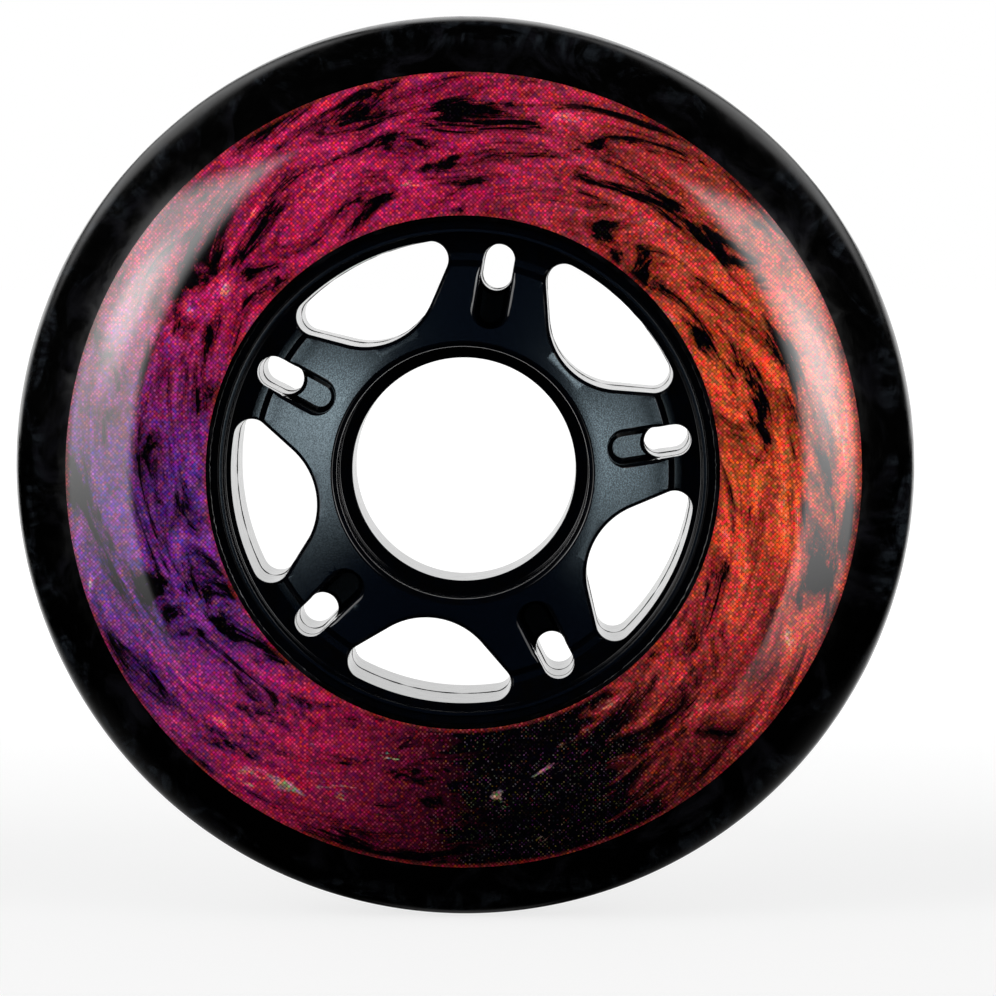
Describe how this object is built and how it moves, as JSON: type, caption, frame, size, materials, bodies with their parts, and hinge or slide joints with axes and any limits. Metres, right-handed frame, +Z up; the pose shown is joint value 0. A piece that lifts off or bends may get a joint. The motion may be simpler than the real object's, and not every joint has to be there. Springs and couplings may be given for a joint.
{
  "type": "inline skate wheel",
  "caption": "Inline skate wheel with a rounded cast tyre, a printed front sidewall and an open spoked hub whose stepped bore takes a pair of ball bearings.",
  "frame": {"origin": "centre of the wheel, on the axle line and midway between the two faces", "axes": "+Y along the axle from the printed face to the plain one, +Z up, +X to the right as the printed face is seen"},
  "size_m": [0.08, 0.0242, 0.08],
  "materials": {
    "hub": "satin",
    "tyre": "gloss",
    "print": "gloss"
  },
  "bodies": {
    "root": {"hub_core": "hub", "tyre": "tyre", "front_print_film": "print"}
  },
  "joints": []
}
